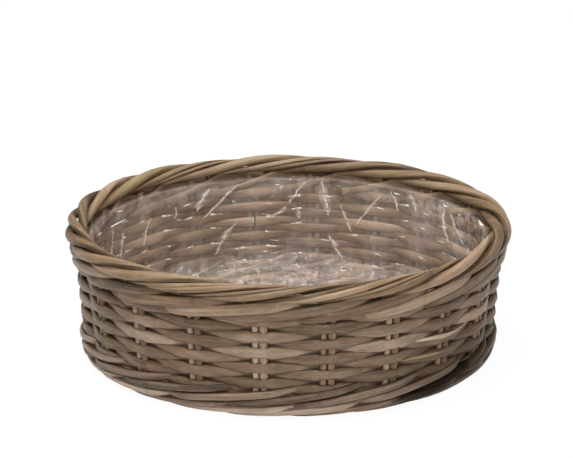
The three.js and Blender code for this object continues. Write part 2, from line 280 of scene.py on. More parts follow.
def cane_group():
    """Shader nodes for old rattan: its tone along the grain, lighter or darker by a value stored on the cane
    that mixes its own tone with painted light and shade, painted shade at its edges and in deep gaps, and its
    relief
    """
    tree = bpy.data.node_groups.new("old_cane", "ShaderNodeTree")
    add_inputs(tree, [
        ("Grain", "Vector", None),
        ("Strand", "Float", 0.0),
        ("Tone_and_light", "Float", 0.5),
        ("Dark", "Color", None),
        ("Body", "Color", None),
        ("Pale", "Color", None),
        ("Edge_shade", "Float", 0.5),
    ])
    for name, kind in (("Color", "Color"), ("Roughness", "Float"), ("Height", "Float"), ("Shine", "Float")):
        tree.interface.new_socket(name, in_out="OUTPUT", socket_type="NodeSocket" + kind)
    given = node(tree, "NodeGroupInput").outputs

    def along_grain(across, lengthwise, detail=3.0):
        vector = vector_maths(tree, "MULTIPLY", given["Grain"], (across, across, lengthwise))
        values = {"Vector": vector, "Scale": 1.0, "Detail": detail, "Roughness": 0.6}
        return node(tree, "ShaderNodeTexNoise", values).outputs[0]

    streaks = along_grain(430.0, 20.0, 4.0)
    fibres = along_grain(2400.0, 90.0, 2.0)
    patches = along_grain(90.0, 16.0)
    blotches = along_grain(240.0, 110.0)
    values = {"W": given["Strand"]}
    own = node(tree, "ShaderNodeTexWhiteNoise", values, noise_dimensions="1D").outputs["Value"]
    terms = []
    for pattern, weight in ((streaks, 0.95), (patches, 0.8), (blotches, 0.3), (own, 0.7), (fibres, 0.2)):
        terms.append((maths(tree, "SUBTRACT", pattern, 0.5), weight))
    tone = weighted(tree, 0.46, terms)
    # Lighter or darker by the value stored on the cane: its own tone, and painted light and shade as each
    # piece sets it
    raised = maths(tree, "SUBTRACT", given["Tone_and_light"], 0.6)
    tone = maths(tree, "MULTIPLY_ADD", raised, 0.3, tone, clamp=True)

    # Painted shade along both edges of the flattened cane, where it meets its neighbours
    apart = node(tree, "ShaderNodeSeparateXYZ", {0: given["Grain"]}).outputs
    wide = maths(tree, "MULTIPLY", apart["X"], apart["X"])
    whole = maths(tree, "ADD", wide, maths(tree, "MULTIPLY", apart["Y"], apart["Y"]))
    edge = maths(tree, "DIVIDE", wide, maths(tree, "MAXIMUM", whole, 1e-9))
    edge_shade = remapped(tree, edge, 0.62, 0.98, 0.0, given["Edge_shade"], interpolation_type="SMOOTHSTEP")
    tone = maths(tree, "SUBTRACT", tone, edge_shade, clamp=True)

    # The joints of the cane: a thin dark ring every so often
    values = {"W": apart["Z"], "Scale": 2.2}
    ring = node(tree, "ShaderNodeTexVoronoi", values, voronoi_dimensions="1D", feature="DISTANCE_TO_EDGE")
    ring = remapped(tree, ring.outputs["Distance"], 0.001, 0.007, 0.1, 0.0)
    tone = maths(tree, "SUBTRACT", tone, ring, clamp=True)

    # Three tones from dark to pale, some lengths a little redder and some a little greener
    low = maths(tree, "MULTIPLY", tone, 2.0, clamp=True)
    high = maths(tree, "MULTIPLY_ADD", tone, 2.0, -1.0, clamp=True)
    color = blended(tree, low, given["Dark"], given["Body"])
    color = blended(tree, high, color, given["Pale"])
    weathered = remapped(tree, along_grain(60.0, 11.0, 1.0), 0.4, 0.6)
    tint = blended(tree, weathered, (1.03, 0.98, 0.975, 1.0), (0.975, 1.012, 0.975, 1.0))
    color = blended(tree, 1.0, color, tint, blend_type="MULTIPLY")

    # Painted shade: a cane deep in a dark gap is painted dark, and shows little of its colour and shine
    shown = remapped(tree, given["Tone_and_light"], -2.6, -0.9, 0.2)
    color = scaled(tree, color, shown)
    rough = weighted(tree, 0.62, ((streaks, -0.3), (fibres, 0.2)))
    height = maths(tree, "MULTIPLY_ADD", streaks, 0.7, maths(tree, "MULTIPLY", fibres, 0.5))
    height = maths(tree, "MULTIPLY_ADD", ring, 1.2, height)
    node(tree, "NodeGroupOutput", {"Color": color, "Roughness": rough, "Height": height, "Shine": shown})
    return tree


OLD_CANE = cane_group()
PITH = (0.42, 0.33, 0.23, 1.0)
CANE_GLOSS = 0.16
CANE_COAT = 0.14
CANE_COAT_ROUGHNESS = 0.13
CANE_RELIEF = 0.0004


def cane_material(name, dark, body, pale, edge_shade=0.5):
    """Weathered rattan in three tones, with painted shade along its edges as strong as the last number says,
    and pale pith where it is cut
    """
    material = bpy.data.materials.new(name)
    material.use_nodes = True
    tree = material.node_tree
    skin = tree.nodes["Principled BSDF"]
    values = {"Dark": dark, "Body": body, "Pale": pale, "Edge_shade": edge_shade}
    for key, kind in (("Grain", "Vector"), ("Strand", "Fac"), ("Tone_and_light", "Fac")):
        values[key] = node(tree, "ShaderNodeAttribute", attribute_name=key.lower()).outputs[kind]
    old = node(tree, "ShaderNodeGroup", values, node_tree=OLD_CANE).outputs
    cut = node(tree, "ShaderNodeAttribute", attribute_name="cut_end").outputs["Fac"]
    values = {"Height": old["Height"], "Strength": 0.7, "Distance": CANE_RELIEF}
    relief = node(tree, "ShaderNodeBump", values).outputs[0]
    skin.inputs["Specular IOR Level"].default_value = CANE_GLOSS
    skin.inputs["Coat Roughness"].default_value = CANE_COAT_ROUGHNESS
    for key, value in (
        ("Base Color", blended(tree, cut, old["Color"], PITH)),
        ("Roughness", old["Roughness"]),
        ("Normal", relief),
        ("Specular IOR Level", maths(tree, "MULTIPLY", old["Shine"], CANE_GLOSS)),
        ("Coat Weight", maths(tree, "MULTIPLY", old["Shine"], CANE_COAT)),
    ):
        tree.links.new(value, skin.inputs[key])
    return material


def stand_in_for(piece, slot, *nodes):
    """The piece belongs to the basket's one body and takes the place of its CAD nodes"""
    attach(piece, "root")
    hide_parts(*nodes)


stake_finish = cane_material(
    "stake_rattan", (0.085, 0.05, 0.025, 1), (0.232, 0.16, 0.109, 1), (0.41, 0.312, 0.232, 1), 0.15
)


def stake_half(pair, side, level):
    """From the middle of the base out and up to the border, for a pair that faces +X"""
    outward = polar(1, pair * PAIR_ANGLE, 0)
    across = Vector((-outward.y, outward.x, 0)) * (side * STAKE_PITCH / 2)
    lane = (2 * pair + side / 2) * CROSS_PITCH
    points = [Vector((x, lane, level)) for x in range(0, int(CROSS_HALF) + 1, CROSS_STEP)]
    first = points[-1]
    fan_end = CROSS_HALF + FAN
    last = outward * fan_end + across + Vector((0, 0, BASE_LEVEL))
    for i in range(1, FAN_STEPS + 1):
        t = i / FAN_STEPS
        ahead = first + Vector((FAN_EASE * t, 0, 0))
        behind = last - outward * (FAN_EASE * (1 - t))
        points.append(ahead.lerp(behind, gentle(t)))

    # The rest as a path of (distance from the axis, height): spoke, bend and wall
    path = []
    reach = LINE_FOOT - BEND
    for i in range(1, SPOKE_STEPS + 1):
        path.append((fan_end + (reach - fan_end) * i / SPOKE_STEPS, BASE_LEVEL))
    lean = math.atan2(LINE_TOP - LINE_FOOT, STAKE_TOP - WALL_FOOT)
    for i in range(1, BEND_STEPS + 1):
        turn = (math.pi / 2 - lean) * i / BEND_STEPS
        path.append((reach + BEND * math.sin(turn), BASE_LEVEL + BEND * (1 - math.cos(turn))))
    bent = path[-1][1]
    for i in range(1, WALL_STEPS + 1):
        z = bent + (STAKE_TOP - bent) * i / WALL_STEPS
        path.append((stake_line(z), z))
    for radius, z in path:
        points.append(outward * radius + across + Vector((0, 0, z)))
    return points


count = 0
for layer in range(2):
    level = BASE_LEVEL + (layer - 0.5) * CROSS_PITCH
    turn = FIRST_PAIR + layer * math.pi / 2
    for pair in range(GROUP_PAIRS):
        for side in (-1, 1):
            # One half of the cane and its mirror image make the whole
            count += 1
            near = stake_half(pair - GROUP_PAIRS // 2, side, level)
            far = [Vector((-p.x, p.y, p.z)) for p in near[1:]]
            own = random.Random(count).uniform(0.93, 1.07)
            strand = []
            route = far[::-1] + near
            for i, p in enumerate(route):
                angle = turn + math.atan2(p.y, p.x)
                proud = STAKE_PROUD * gentle((p.z - WALL_FOOT) / 8)
                sway = noise.noise(Vector((i * 0.13, count * 3.7, 0))) * STAKE_SWAY
                spot = polar(math.hypot(p.x, p.y) + proud, angle, p.z) + polar(sway, angle + math.pi / 2, 0)
                butt = side * (2 * i / (len(route) - 1) - 1)
                swell = noise.noise(Vector((i * 0.09, count * 1.9, 5)))
                girth = STAKE / 2 * own * (1 + BUTT_SWELL * butt + 0.06 * swell)
                strand.append((spot, girth, Vector((-spot.y, spot.x, 0)).normalized(), 0.5 - 0.6 * butt))
            piece = canes(f"stake_{count:02d}", [strand], stake_finish, flatness=0.95)
            stand_in_for(piece, "stake_cane", f"stake_cane_{count:02d}")

# Base weave: two doubled weavers chase each other round the base, over one pair of stakes and
# under the next. They start at the wall, on opposite sides, the outer cane of each a few pairs
# before the inner one, and end beside the crossing.
BASE_WEAVER = 5.8
BASE_PITCH = 12.0
BASE_OUTERMOST = 167.6
BASE_INNERMOST = 54.0
BASE_LEAD = 5
BASE_STEPS = 10
BASE_LIFT = 4.6
base_finish = cane_material(
    "base_rattan", (0.05, 0.03, 0.017, 1), (0.19, 0.119, 0.074, 1), (0.33, 0.235, 0.16, 1)
)
for order, title in enumerate(("a", "b")):
    strands = []
    for half in (-1, 1):
        strand = []
        i = -BASE_STEPS * BASE_LEAD if half > 0 else 0
        while True:
            u = i / BASE_STEPS - order * PAIRS / 2
            radius = BASE_OUTERMOST - 2 * BASE_PITCH / PAIRS * max(i / BASE_STEPS, 0)
            if radius < BASE_INNERMOST:
                break
            wave = math.cos(math.pi * (u + order))
            lift = wave * (1.2 - 0.2 * wave * wave) * BASE_LIFT
            wander = noise.noise(Vector((u * 0.7, order * 9 + half, 2))) * 0.5
            angle = FIRST_PAIR + u * PAIR_ANGLE
            place = polar(radius + half * BASE_PITCH / 4 + wander, angle, BASE_LEVEL + lift)
            girth = BASE_WEAVER / 2 * (1 + 0.1 * noise.noise(Vector((u * 0.35, order * 5 + half, 8))))
            strand.append((place, girth, polar(1, angle, 0), 0.5))
            i += 1
        strands.append(strand)
    piece = canes(f"base_weave_{title}", strands, base_finish, flatness=0.72)
    stand_in_for(piece, "base_cane", f"base_weaver_{title}")

# Foot wale: three rods woven round the bend, each outside two pairs of stakes and inside the third,
# for two rounds. They rise as they go, so they wind like a rope, and the basket stands on the first
# round. Low on the right of the front the cane is painted darker as shadow, and painted darker still
# as shade in a gap between two rods.
RODS = 3
STEPS = 20
FOOT_ROD = 3.7
FOOT_SEAM = 5.5
FOOT_INSET = 5.4
SHADOW_PAIR = 18.6
SHADOW_REACH = 2.2
SHADOW_TOP = 66.0
SHADOW_FADE = 40.0
ROD_SHADOW = 1.7
GAP_START = -1.7
GAP_END = 0.45
GAP_FOOT = 10.0
GAP_RISE = 14.0
GAP_HALF = 6.0
GAP_SHADE = 3.0
GAP_SINK = 2.6


def pairs_past(u, middle):
    """How many pairs a place lies past another, up to half the round either way"""
    return (u - middle + PAIRS / 2) % PAIRS - PAIRS / 2


def painted_shadow(u, z):
    """How much painted shadow darkens the cane, at a number of pairs round and a height"""
    beside = pairs_past(u, SHADOW_PAIR)
    return gentle(1 - abs(beside) / SHADOW_REACH) * gentle((SHADOW_TOP - z) / SHADOW_FADE)


def parting(u, z):
    """How deep the gap is, which runs up through the painted shadow and gets steeper as it goes"""
    beside = pairs_past(u, SHADOW_PAIR)
    middle = GAP_FOOT + GAP_RISE * math.exp(2.2 * beside)
    ends = gentle((beside - GAP_START) * 3) * gentle((GAP_END - beside) * 4)
    return gentle(1 - abs(z - middle) / GAP_HALF) * ends


def wale_side(phase):
    """1 outside the stakes and -1 inside, over the three pairs of one stroke"""
    if phase < 1:
        return -math.cos(math.pi * phase)
    if phase < 2:
        return 1.0
    return math.cos(math.pi * (phase - 2))


def wale_rise(phase):
    """From 0 where a stroke comes out to 1 where it goes back in"""
    if phase < 0.5:
        return 0.5 - phase
    if phase < 2.5:
        return (phase - 0.5) / 2
    return 3.5 - phase


def rod(seed, seam, place_at, low, high, girth, shift):
    """One rod of a wale, once round from its seam, with its place in the stroke given by shift"""
    strand = []
    for i in range(PAIRS * STEPS + 1):
        u = seam + i / STEPS
        phase = (u - shift) % RODS
        side = wale_side(phase)
        drift = noise.noise(Vector((u * 0.5, seed * 7.3, 1)))
        swell = noise.noise(Vector((u * 0.23, seed * 5.1, 4)))
        z = low + (high - low) * wale_rise(phase) + drift
        radius, slope = place_at(z, side)
        angle = FIRST_PAIR + u * PAIR_ANGLE
        thick = girth * (1 + 0.16 * swell) * (0.62 + 0.38 * gentle(side * 0.6 + 0.6))
        stroke = random.Random(seed * 50 + math.floor((u - shift) / RODS)).uniform(-0.7, 0.7)
        parted = parting(u, z)
        # Painted shadow low on the right of the front and painted shade in the gap darken the rods. Each
        # stroke differs in tone at random and is a little lighter outside the stakes.
        tone_and_light = 0.65 + 0.1 * side + stroke - ROD_SHADOW * painted_shadow(u, z) - GAP_SHADE * parted
        place = polar(radius + drift * 0.5 - GAP_SINK * parted, angle, z)
        lie = polar(math.sin(slope), angle, math.cos(slope))
        strand.append((place, thick * (1 + 0.2 * parted), lie, tone_and_light))
    return strand


def foot_place(z, side):
    """Distance from the axis and slope of a rod that hugs the bend at its outside"""
    reach = BEND + STAKE / 2 + FOOT_ROD * 0.8
    drop = max(WALL_FOOT - z, 0)
    if drop:
        outside = LINE_FOOT - BEND + math.sqrt(max(reach * reach - drop * drop, 0))
    else:
        outside = stake_line(z) + reach - BEND
    inside = stake_line(max(z, WALL_FOOT)) - FOOT_INSET
    out = (side + 1) / 2
    return inside + (outside - inside) * out, math.asin(min(drop / reach, 1)) * out


foot_finish = cane_material(
    "foot_rattan", (0.055, 0.034, 0.02, 1), (0.222, 0.155, 0.11, 1), (0.455, 0.357, 0.275, 1)
)
for title, seed, low, high, nodes in (
    ("foot_wale_lower", 0, 3.8, 11.5, ("foot_rod_lower", "foot_rod_upper")),
    ("foot_wale_upper", 3, 12.5, 27.6, ("bottom_wale",)),
):
    rods = [rod(seed + i, FOOT_SEAM, foot_place, low, high, FOOT_ROD, i) for i in range(RODS)]
    piece = canes(title, rods, foot_finish, flatness=0.86)
    stand_in_for(piece, "wale_cane", *nodes)

# Side weavers: eleven rows of grey cane in plain weave, outside one pair and inside the next. Each
# row is half a step on from the one below, so the strokes stack like bricks. Outside, a cane spreads
# beside the pair and is drawn in right on it.
ROWS = 11
FIRST_ROW = 20.0
ROW_PITCH = 7.19
ROW_TILT = 1.6
TILT_TURN = math.radians(85)
TILT_ROWS = 4
INSIDE_LIFT = 1.3
END_GAP = 0.02
WEAVER = 3.95
BESIDE = 5.7
INSIDE = 2.6
PINCH = 2.1
PINCH_REACH = 0.11
WEAVER_FLATNESS = 0.48
WEAVER_SHADOW = 1.5
DEPTH = 4.4
SHARPNESS = 0.985
weaver_finish = cane_material(
    "weaver_rattan", (0.08, 0.048, 0.025, 1), (0.185, 0.124, 0.083, 1), (0.35, 0.262, 0.194, 1), 0.42
)
for row in range(ROWS):
    start = row * (PAIRS // 2 + 1)
    strand = []
    for i in range(PAIRS * STEPS + 1):
        u = start + END_GAP + i / STEPS * (1 - 2 * END_GAP / PAIRS)
        wave = -math.cos(math.pi * (u + row))
        side = math.asin(SHARPNESS * wave) / math.asin(SHARPNESS)
        off = (1 - side) / 2
        angle = FIRST_PAIR + u * PAIR_ANGLE
        drift = noise.noise(Vector((u * 0.55, row * 7.7, 0)))
        swell = noise.noise(Vector((u * 0.31, row * 3.3, 9)))
        tilt = ROW_TILT * math.sin(angle + TILT_TURN)
        tilt *= gentle(row / TILT_ROWS) * gentle((ROWS - row) / TILT_ROWS)
        z = FIRST_ROW + row * ROW_PITCH + tilt + drift * 0.9 + INSIDE_LIFT * off * math.sin(angle)
        radius = stake_line(z) + side * DEPTH + noise.noise(Vector((u * 0.9, row * 2.2, 6))) * 0.5
        girth = WEAVER + 0.35 * swell + (BESIDE if side > 0 else INSIDE) * abs(off - 0.5)
        girth -= PINCH * math.exp(-(off / PINCH_REACH) ** 4)
        stroke = random.Random(row * 90 + round((u + row) / 2)).uniform(-0.35, 0.35)
        # Painted light and shade: the inside strokes are painted lighter, the higher rows darker as shade
        # under the border and the lower ones lighter, and the painted shadow low on the right darkens them.
        # Each stroke is darker where it passes between the pairs and differs in tone at random.
        tone_and_light = 0.35 + (0.65 + stroke) * abs(side) - 0.3 * side + 0.25 * off
        tone_and_light -= WEAVER_SHADOW * painted_shadow(u, z) + 0.04 * (row - 4)
        strand.append((polar(radius, angle, z), girth, Vector((0, 0, 1)), tone_and_light))
    piece = canes(f"side_row_{row + 1:02d}", [strand], weaver_finish, flatness=WEAVER_FLATNESS)
    stand_in_for(piece, "weaver_cane", f"side_weaver_{row + 1:02d}")

# Torn cane low on the right of the front: a pale strip peeled off one weaver, with two splinters and
# a green-yellow strip that was never stripped of its skin. They lie on the strokes of the side rows,
# through places given as pairs round, height and half width.
STRIP_PROUD = 2.6
STRIP_LIFT = 1.5
STRIP_STEPS = 8
PEELED = (
    (17.36, 62.5, 0.5), (17.52, 62.4, 1.6), (17.88, 59.6, 2.5),
    (18.16, 59.6, 1.1), (18.34, 61.6, 0.6), (18.5, 66.0, 0.2),
)
SPLINTERS = (
    ((17.3, 59.4, 0.3), (17.4, 61.0, 0.6), (17.6, 60.8, 0.7), (17.9, 58.0, 0.4)),
    ((17.02, 47.4, 0.2), (17.06, 49.6, 0.4), (17.12, 48.4, 0.5), (17.2, 50.6, 0.2)),
)
UNSTRIPPED = (
    (17.16, 46.4, 0.5), (17.32, 46.8, 1.4), (17.55, 46.5, 1.7), (17.75, 45.3, 1.3), (17.95, 44.6, 0.4),
)


def strips(routes):
    """Strips on the outside of the side rows, lifted here and there"""
    strands = []
    for k, route in enumerate(routes):
        strand = []
        for first, last in zip(route, route[1:]):
            for i in range(STRIP_STEPS):
                u, z, girth = (a + (b - a) * gentle(i / STRIP_STEPS) for a, b in zip(first, last))
                rise = STRIP_LIFT * noise.noise(Vector((u * 3, k * 2.7, 3)))
                place = polar(stake_line(z) + DEPTH + STRIP_PROUD + rise, FIRST_PAIR + u * PAIR_ANGLE, z)
                strand.append((place, girth, Vector((0, 0, 1)), 0.9))
        strands.append(strand)
    return strands


torn_finish = cane_material(
    "torn_rattan", (0.16, 0.105, 0.065, 1), (0.36, 0.27, 0.19, 1), (0.55, 0.43, 0.32, 1), 0.2
)
unstripped_finish = cane_material(
    "unstripped_rattan", (0.09, 0.06, 0.027, 1), (0.235, 0.173, 0.088, 1), (0.37, 0.29, 0.175, 1), 0.3
)
for title, routes, finish in (
    ("torn_strips", (PEELED, *SPLINTERS), torn_finish),
    ("unstripped_strip", (UNSTRIPPED,), unstripped_finish),
):
    piece = canes(title, strips(routes), finish, flatness=0.4, sides=8)
    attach(piece, "root")

# Top wale: one round of three rods under the border, which locks the rows. Each stroke rises
# past two pairs and goes in behind the third.
TOP_ROD = 5.3
TOP_SEAM = 4.5
TOP_SEED = 8
TOP_SHIFT = 0.1
TOP_LOW = 93.4
TOP_HIGH = 109.6
TOP_DEPTH = 5.6
TOP_PROUD = 0.8


def top_place(z, side):
    """Distance from the axis and slope of a rod that stands upright at the stakes"""
    return stake_line(z) + side * TOP_DEPTH + (TOP_PROUD if side > 0 else 0), 0.0


# Painted shade: these tones are a little darker than the side rows', for the shade under the border.
top_shaded_finish = cane_material(
    "wale_rattan_shaded", (0.054, 0.032, 0.017, 1), (0.178, 0.117, 0.074, 1), (0.345, 0.255, 0.177, 1)
)
rods = []
for i in range(RODS):
    rods.append(rod(i + TOP_SEED, TOP_SEAM, top_place, TOP_LOW, TOP_HIGH, TOP_ROD, i + TOP_SHIFT))
piece = canes("top_wale", rods, top_shaded_finish, flatness=0.65)
stand_in_for(piece, "wale_cane", "top_wale_01", "top_wale_02")

# Rolled border: past the top wale the tips of each pair bend over to the right. They come out low
# under the tips before them, roll up over the edge past four pairs and end inside.
ROLL_RADIUS = 191.2
ROLL_LEVEL = 116.6
ROLL_WIDTH = 5.5
ROLL_HEIGHT = 4.6
BORDER = 9.4
ROLL_START = -90.0
ROLL_TURN = 365.0
ROLL_STEPS = 80
BEFORE_PAIR = 1 / 6
PAIRS_PASSED = 4.0
WHOLE_SHARE = 0.6
TIPS_APART = 38.0
LEAD_IN = 2.0
LEAD_DROP = 3.0
TIP_DROP = 2.5
TIP_TUCK = 2.2
CROWN = 1.7
LIT_PAIR = 0.4
LIT_REACH = 2.5
UNSTRIPPED_PAIR = 6
border_finish = cane_material(
    "border_rattan", (0.06, 0.034, 0.016, 1), (0.213, 0.14, 0.082, 1), (0.365, 0.27, 0.183, 1), 0.4
)
for pair in range(PAIRS):
    draw = random.Random(pair + 90)
    if draw.random() < WHOLE_SHARE:
        tips = ((BORDER * draw.uniform(0.92, 1.08), 0.0),)
    else:
        share = draw.uniform(0.55, 0.66)
        tips = ((BORDER * share, TIPS_APART * (share - 1)), (BORDER * (1 - share), TIPS_APART * share))
    strands = []
    for width, ahead in tips:
        strand = []
        for i in range(ROLL_STEPS + 1):
            t = i / ROLL_STEPS
            u = pair + PAIRS_PASSED * t
            wander = noise.noise(Vector((t * 3, pair * 1.7, width)))
            roll = math.radians(ROLL_START + ROLL_TURN * t + ahead + 7 * wander)
            angle = FIRST_PAIR + (u - BEFORE_PAIR) * PAIR_ANGLE
            lead = 1 - gentle(t * 7)
            drop = gentle(t * 6 - 5)
            crown = CROWN * math.sin(math.pi * min(t * 1.1, 1)) ** 2
            tuck = TIP_TUCK * gentle(t * 4 - 3) - crown + 0.5 * wander
            radius = ROLL_RADIUS + (ROLL_WIDTH - tuck) * math.cos(roll) - LEAD_IN * lead
            z = ROLL_LEVEL + (ROLL_HEIGHT - tuck) * math.sin(roll) - LEAD_DROP * lead - TIP_DROP * drop
            girth = width / 2 * (1.05 - 0.16 * t + 0.12 * noise.noise(Vector((t * 4, pair * 2.1, width))))
            lie = polar(-math.sin(roll), angle, math.cos(roll))
            # Painted light: the border is painted lighter on the right. A strand is darker for its first
            # stretch, where it comes out low under the tips before it.
            painted_light = gentle(1 - abs(pairs_past(u, LIT_PAIR)) / LIT_REACH)
            tone_and_light = 0.3 + 0.5 * gentle(t * 4) + 0.6 * painted_light
            strand.append((polar(radius, angle, z), girth, lie, tone_and_light))
        strands.append(strand)
    finish = unstripped_finish if pair == UNSTRIPPED_PAIR else border_finish
    piece = canes(f"border_{pair + 1:02d}", strands, finish, flatness=0.84)
    stand_in_for(piece, "border_cane", f"border_strand_{pair + 1:02d}")

# Film liner: a sheet of clear film pushed down into the basket, so it lies in sharp folds against the
# weave and is crumpled on the base. Its edge is caught under the border.
FILM_TOP = 106.0
FILM_FLOOR = 17.0
FILM_INSET = 9.2
FILM_LIP = 7.5
LIP_OUT = 0.85
LIP_UP = 0.6
CORNER = 22.0
CORNER_LENGTH = CORNER * math.pi / 2
FILM_FOOT = stake_line(FILM_FLOOR + CORNER) - FILM_INSET
FILM_BEND = FILM_TOP - FILM_FLOOR - CORNER
FLOOR_START = FILM_BEND + CORNER_LENGTH
FLOOR_LENGTH = FILM_FOOT - CORNER
FILM_DEEP = FLOOR_START + FLOOR_LENGTH
FILM_ROUND = math.tau * (FILM_FOOT + 4)
FOLD_HEIGHT = 9.0
FOLDS = ((5, 24, 0.3), (8, -32, 0.27), (11, 10, 0.18), (4, -72, 0.25))
FOLDED_BELOW = 14.0
CALM_DEPTH = 45.0
CALM_REACH = 40.0
FLAT_MIDDLE = 24.0
FLAT_MARGIN = 40.0
AROUND = 640
DOWN = 150
COARSE_STEPS = 20
fine = np.linspace(-FILM_LIP, FLOOR_START + 30, DOWN + 1 - COARSE_STEPS)
FILM_STEPS = np.concatenate([fine, np.linspace(fine[-1], FILM_DEEP, COARSE_STEPS + 1)[1:]])


def facets_of(tree, place, scale):
    """Height of flat facets that each lean their own way, and which of them take a painted reflection"""
    cell = node(tree, "ShaderNodeTexVoronoi", {"Vector": place, "Scale": scale}).outputs
    away = vector_maths(tree, "SUBTRACT", place, cell["Position"])
    lean = vector_maths(tree, "SUBTRACT", cell["Color"], (0.5, 0.5, 0.5))
    height = node(tree, "ShaderNodeVectorMath", {0: away, 1: lean}, operation="DOT_PRODUCT").outputs["Value"]
    own = node(tree, "ShaderNodeSeparateXYZ", {0: cell["Color"]}).outputs["Z"]
    return height, remapped(tree, own, 0.6, 0.9)


def shade_with(tree, factor, first, second):
    """The material shows a mix of two shaders"""
    mixed = node(tree, "ShaderNodeMixShader", {"Fac": factor, 1: first, 2: second})
    tree.links.new(mixed.outputs[0], tree.nodes["Material Output"].inputs["Surface"])


def film_material():
    """Clear film in facets that glint, a little milky where it is creased, with painted reflections on some
    facets and painted highlight specks low down
    """
    film = bpy.data.materials.new("clear_film")
    film.use_nodes = True
    tree = film.node_tree
    gloss = tree.nodes["Principled BSDF"]
    gloss.inputs["Roughness"].default_value = 0.12
    gloss.inputs["Coat Weight"].default_value = 0.3
    gloss.inputs["Coat Roughness"].default_value = 0.05

    # The place on the sheet, round and down in metres, warped so that the facets are uneven
    spread = node(tree, "ShaderNodeAttribute", attribute_name="spread").outputs["Vector"]
    down = node(tree, "ShaderNodeSeparateXYZ", {0: spread}).outputs["Y"]
    warp = node(tree, "ShaderNodeTexNoise", {"Vector": spread, "Scale": 45.0, "Detail": 2.0}).outputs["Color"]
    warp = scaled(tree, vector_maths(tree, "SUBTRACT", warp, (0.5, 0.5, 0.5)), 0.02)
    warp = vector_maths(tree, "ADD", spread, warp)
    warp = vector_maths(tree, "MULTIPLY", warp, (1.0, 0.55, 1.0))
    values = {"Vector": warp, "Angle": 0.5}
    slanted = node(tree, "ShaderNodeVectorRotate", values, rotation_type="Z_AXIS").outputs[0]
    slanted = vector_maths(tree, "MULTIPLY", slanted, (1.0, 0.4, 1.0))

    # Wide and fine facets: the fine ones low down and just under the lip
    low = remapped(tree, down, 0.06, 0.095)
    upper = remapped(tree, down, 0.022, 0.006)
    crumpled = maths(tree, "MULTIPLY_ADD", maths(tree, "MAXIMUM", low, upper), 0.8, 0.2)
    wide, wide_painted_reflection = facets_of(tree, slanted, 44.0)
    fine, fine_painted_reflection = facets_of(tree, warp, 100.0)
    fine_painted_reflection = maths(tree, "MULTIPLY", fine_painted_reflection, maths(tree, "MULTIPLY_ADD", low, 0.85, 0.15))
    height = maths(tree, "MULTIPLY_ADD", fine, crumpled, maths(tree, "MULTIPLY", wide, 0.6))
    relief = node(tree, "ShaderNodeBump", {"Height": height, "Strength": 1.0, "Distance": 1.0})
    tree.links.new(relief.outputs[0], gloss.inputs["Normal"])
    # Painted reflection: some facets are painted lighter and a few lilac, as each would reflect its own part
    # of the room.
    tint = blended(tree, fine_painted_reflection, (0.88, 0.74, 0.62, 1), (0.97, 0.86, 0.76, 1))
    tint = blended(tree, maths(tree, "MULTIPLY", wide_painted_reflection, 0.8), tint, (0.8, 0.69, 0.65, 1))
    tree.links.new(tint, gloss.inputs["Base Color"])

    # How much of the film is seen: hardly anything at the lip. It throws no shadow
    facing = node(tree, "ShaderNodeLayerWeight", {"Blend": 0.3}).outputs["Fresnel"]
    terms = ((facing, 0.08), (upper, 0.04), (low, 0.05), (wide_painted_reflection, 0.055), (fine_painted_reflection, 0.07))
    cover = weighted(tree, 0.125, terms)
    # Painted highlights: bright specks on the crumpled film low down.
    values = {"Vector": warp, "Scale": 110.0, "Detail": 3.0, "Distortion": 1.5}
    painted_specks = remapped(tree, node(tree, "ShaderNodeTexNoise", values).outputs[0], 0.57, 0.7)
    painted_specks = maths(tree, "MULTIPLY", painted_specks, maths(tree, "MULTIPLY", low, 0.2))
    cover = maths(tree, "ADD", cover, painted_specks, clamp=True)
    cover = maths(tree, "MULTIPLY", cover, remapped(tree, down, -0.004, 0.0, 0.1))
    shaded = node(tree, "ShaderNodeLightPath").outputs["Is Shadow Ray"]
    cover = maths(tree, "MULTIPLY", cover, maths(tree, "SUBTRACT", 1.0, shaded))
    clear = node(tree, "ShaderNodeBsdfTransparent", {"Color": (1.0, 0.97, 0.93, 1)}).outputs[0]
    shade_with(tree, cover, clear, gloss.outputs[0])
    return film


def film_profile(s):
    """Distance from the axis, height and slope of the smooth film, a way down from its edge"""
    if s < 0:
        return stake_line(FILM_TOP) - FILM_INSET - s * LIP_OUT, FILM_TOP - s * LIP_UP, 0.0
    if s < FILM_BEND:
        z = FILM_TOP - s
        return stake_line(z) - FILM_INSET, z, 0.0
    if s < FLOOR_START:
        slope = (s - FILM_BEND) / CORNER
        return FILM_FOOT - CORNER * (1 - math.cos(slope)), FILM_FLOOR + CORNER * (1 - math.sin(slope)), slope
    return max(FLOOR_LENGTH - (s - FLOOR_START), 0.0), FILM_FLOOR, math.pi / 2


def film_place(s, out, angle):
    """A place that stands out from the smooth film, a way down from its edge"""
    radius, z, slope = film_profile(s)
    return polar(radius - out * math.cos(slope), angle, z + out * math.sin(slope))


def broad_folds():
    """The CAD liner's crossing sets of sharp folds, each with its count, tilt and share of the height"""
    turn = math.tau * np.arange(AROUND)[:, None] / AROUND - FIRST_PAIR + math.pi / 2
    height = np.zeros((AROUND, DOWN + 1))
    for count, tilt, share in FOLDS:
        twist = count * math.tan(math.radians(tilt)) / LINE_FOOT
        wave = (count * turn + twist * FILM_STEPS[None, :]) / math.tau
        height += FOLD_HEIGHT * share * (1 - 4 * np.abs(wave - np.round(wave)))
    return np.clip(height, 0, None)


